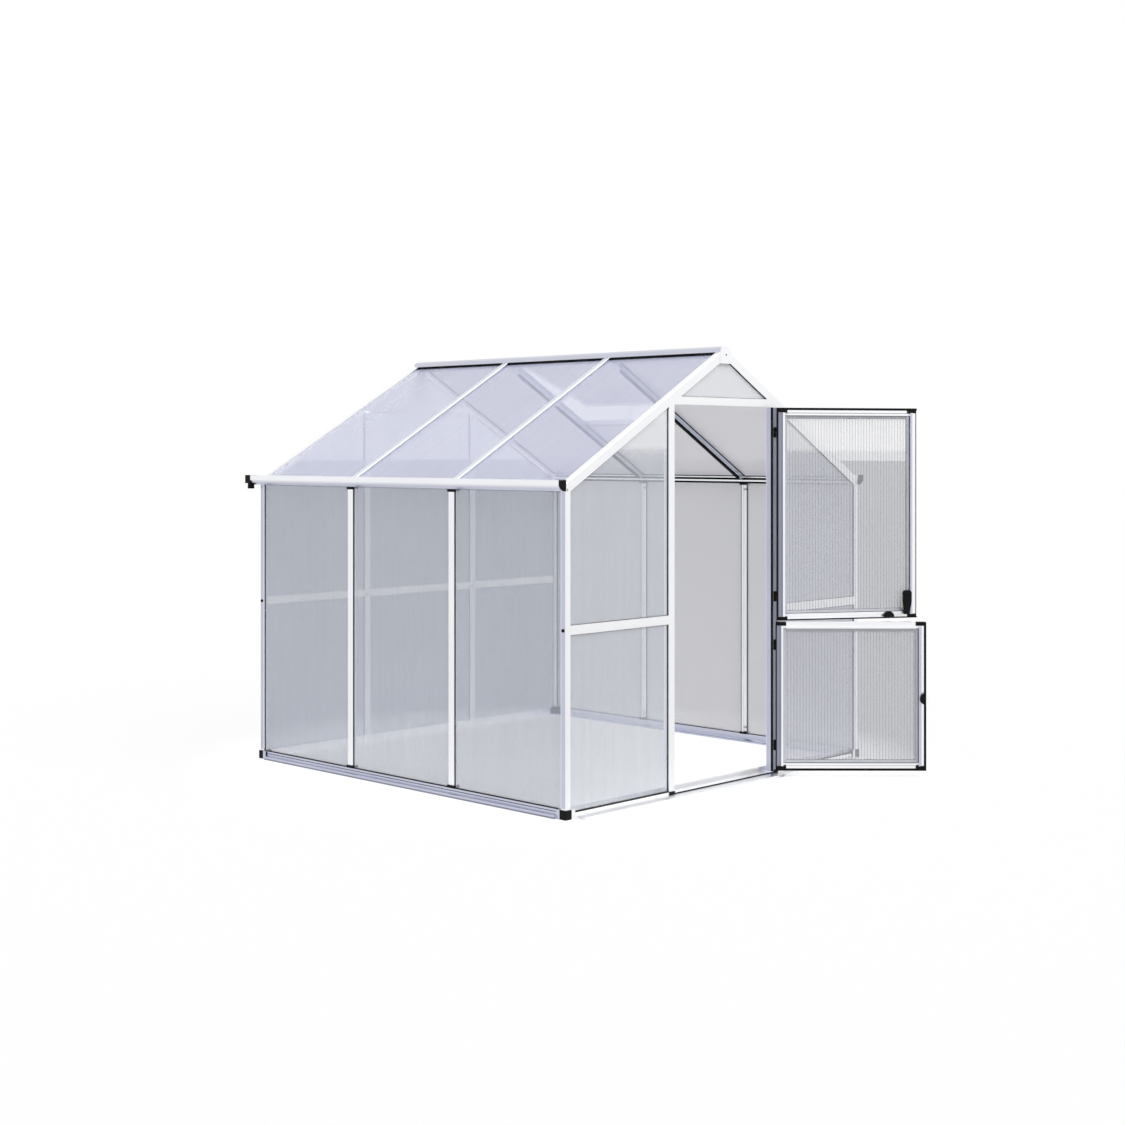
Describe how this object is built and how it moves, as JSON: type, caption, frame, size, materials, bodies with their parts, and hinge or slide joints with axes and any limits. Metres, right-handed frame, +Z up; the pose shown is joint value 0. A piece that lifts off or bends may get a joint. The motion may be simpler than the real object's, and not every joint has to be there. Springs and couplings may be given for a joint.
{
  "type": "greenhouse",
  "caption": "Small gable-roofed garden greenhouse with aluminium glazing bars, translucent twin-wall sheets, eaves gutters, a propped roof vent and an open stable door.",
  "frame": {"origin": "on the ground under the middle of the front wall's outer face, on the underside of the front base rail", "axes": "+X to the right seen from the front, +Y into the house, +Z up"},
  "size_m": [1.976, 2.4811, 1.818],
  "materials": {
    "aluminium": "satin mill finish",
    "twin_wall_sheet": "clear twin-wall polycarbonate with fine upright ribs",
    "black_plastic": "moulded black nylon",
    "seal_rubber": "black rubber edge seal"
  },
  "bodies": {
    "house": {"base_rail_front": "aluminium", "base_rail_back": "aluminium", "base_rails_side": "aluminium", "base_corner_caps": "black_plastic", "corner_posts": "aluminium", "side_wall_studs": "aluminium", "post_end_caps": "black_plastic", "eave_beams": "aluminium", "gutters": "aluminium", "gutter_end_caps": "black_plastic", "ridge_beam": "aluminium", "ridge_end_plates": "aluminium", "gable_rafters": "aluminium", "roof_bars": "aluminium", "door_jambs": "aluminium", "door_header": "aluminium", "front_mid_rails": "aluminium", "back_posts": "aluminium", "back_header": "aluminium", "back_mid_rails": "aluminium", "left_wall_panels": "twin_wall_sheet", "right_wall_panels": "twin_wall_sheet", "left_roof_panels": "twin_wall_sheet", "right_roof_panels": "twin_wall_sheet", "front_gable_panels": "twin_wall_sheet", "back_gable_panels": "twin_wall_sheet", "vent_trimmer": "aluminium", "vent_frame_sides": "aluminium", "vent_frame_ends": "aluminium", "vent_panel": "twin_wall_sheet", "vent_stay": "aluminium", "jamb_hinges": "black_plastic"},
    "upper_leaf": {"upper_leaf_stiles": "aluminium", "upper_leaf_rails": "aluminium", "upper_leaf_corners": "black_plastic", "upper_leaf_panel": "twin_wall_sheet", "upper_leaf_seals": "seal_rubber", "upper_leaf_handle": "black_plastic", "upper_leaf_hinges": "black_plastic"},
    "lower_leaf": {"lower_leaf_stiles": "aluminium", "lower_leaf_rails": "aluminium", "lower_leaf_corners": "black_plastic", "lower_leaf_panel": "twin_wall_sheet", "lower_leaf_seals": "seal_rubber", "lower_leaf_latch": "black_plastic", "lower_leaf_hinges": "black_plastic"}
  },
  "joints": [
    {"name": "upper_leaf_hinge", "type": "hinge", "parent": "house", "child": "upper_leaf", "pos_m": [0.3195, -0.011, 0], "axis": [0, 0, 1], "range_deg": [-147.5, 22.5]},
    {"name": "lower_leaf_hinge", "type": "hinge", "parent": "house", "child": "lower_leaf", "pos_m": [0.3195, -0.011, 0], "axis": [0, 0, 1], "range_deg": [-134, 36]}
  ]
}
